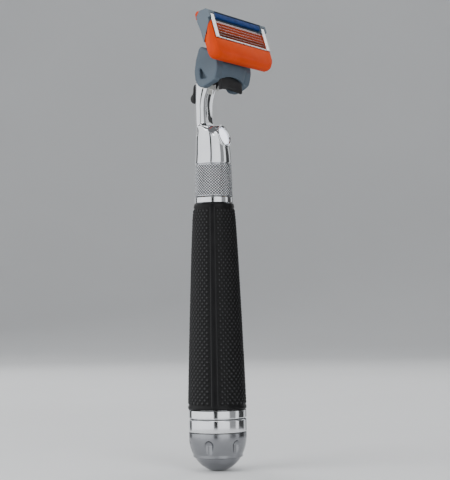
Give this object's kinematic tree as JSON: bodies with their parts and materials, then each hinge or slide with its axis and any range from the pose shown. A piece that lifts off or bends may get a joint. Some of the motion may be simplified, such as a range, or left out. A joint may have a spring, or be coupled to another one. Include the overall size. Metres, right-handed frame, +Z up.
{
  "type": "cartridge razor",
  "caption": "Battery-handled cartridge razor with a tapered textured grip, knurled twist collar, neck lamp and a pivoting multi-blade head.",
  "frame": {"origin": "middle of the small flat at the bottom of the end cap", "axes": "+Z up the handle's axis, -Y the way the blades and the lamp face, X along the blades"},
  "size_m": [0.041, 0.0253, 0.1615],
  "materials": {
    "satin_chrome": "satin chrome plating",
    "chrome": "polished chrome plating",
    "steel": "fine ground stainless steel",
    "brass": "plain brass contact",
    "grip_rubber": "matt black moulded rubber",
    "orange_rubber": "satin orange elastomer",
    "slate_plastic": "satin slate grey plastic",
    "blue_strip": "waxy blue lubricating polymer",
    "dark_plastic": "satin black plastic",
    "white_plastic": "natural white plastic",
    "board_green": "solder masked board",
    "cell_jacket": "plain printed cell jacket",
    "clear_lens": "clear polished lens",
    "lamp": "clear lamp body with yellow die"
  },
  "bodies": {
    "handle": {"lower_collar": "chrome", "battery_tube": "dark_plastic", "grip_sleeve": "grip_rubber", "upper_trim_ring": "chrome", "battery": "cell_jacket", "positive_contact": "brass", "circuit_board": "board_green", "motor": "steel", "motor_mount": "dark_plastic", "neck": "chrome", "lens_bezel": "chrome", "lamp_lens": "clear_lens", "lamp_led": "lamp", "lamp_board": "board_green", "docking_head": "dark_plastic", "ejector_spring": "steel", "plunger_spring": "steel"},
    "cap_carriage": {"cap_contact_plate": "brass", "battery_spring": "steel"},
    "cap": {"cap_dome": "satin_chrome", "cap_core": "white_plastic", "cap_band": "chrome", "cap_seal_ring": "grip_rubber"},
    "collar": {"knurled_collar": "satin_chrome", "switch_wiper": "brass"},
    "rotor": {"motor_shaft": "steel", "eccentric_weight": "brass"},
    "plunger": {"plunger": "white_plastic"},
    "release": {"release_button": "dark_plastic", "ejector": "white_plastic"},
    "yoke": {"yoke": "slate_plastic"},
    "blade_unit": {"cartridge_housing": "slate_plastic", "elastomer_guard": "orange_rubber", "lubricating_strip": "blue_strip", "blade_1": "steel", "blade_2": "steel", "blade_3": "steel", "blade_4": "steel", "blade_5": "steel", "clip_left": "steel", "clip_right": "steel", "trimmer_guard": "orange_rubber", "trimmer_blade": "steel"}
  },
  "joints": [
    {"name": "cap_travel", "type": "slide", "parent": "handle", "child": "cap_carriage", "axis": [0, 0, -1], "range_m": [0, 0.0075]},
    {"name": "cap_unscrew", "type": "hinge", "parent": "cap_carriage", "child": "cap", "pos_m": [0, 0, 0.009], "axis": [0, 0, -1], "range_deg": [0, 1080]},
    {"name": "switch_turn", "type": "hinge", "parent": "handle", "child": "collar", "pos_m": [0, 0, 0.1035], "axis": [0, 0, 1], "range_deg": [0, 60]},
    {"name": "motor_spin", "type": "hinge", "parent": "handle", "child": "rotor", "pos_m": [0, 0, 0.101], "axis": [0, 0, 1], "continuous": true},
    {"name": "plunger_press", "type": "slide", "parent": "handle", "child": "plunger", "axis": [0, 0, -1], "range_m": [0, 0.0036], "deforming": ["plunger_spring"]},
    {"name": "release_press", "type": "slide", "parent": "handle", "child": "release", "axis": [0, 0, 1], "range_m": [0, 0.003], "stiffness_N_per_m": 200, "deforming": ["ejector_spring"]},
    {"name": "head_release", "type": "slide", "parent": "handle", "child": "yoke", "axis": [0, 0, 1], "range_m": [0, 0.003]},
    {"name": "head_pivot", "type": "hinge", "parent": "yoke", "child": "blade_unit", "pos_m": [0, -0.01, 0.1485], "axis": [-1, 0, 0], "range_deg": [0, 35], "stiffness_Nm_per_rad": 0.02, "springref_deg": -11.46}
  ],
  "couplings": [
    {"joint": "cap_travel", "follows": "cap_unscrew", "m_per_rad": 0.00039789},
    {"joint": "plunger_press", "follows": "head_pivot", "m_per_rad": 0.00581},
    {"joint": "head_release", "follows": "release_press", "ratio": 1}
  ]
}
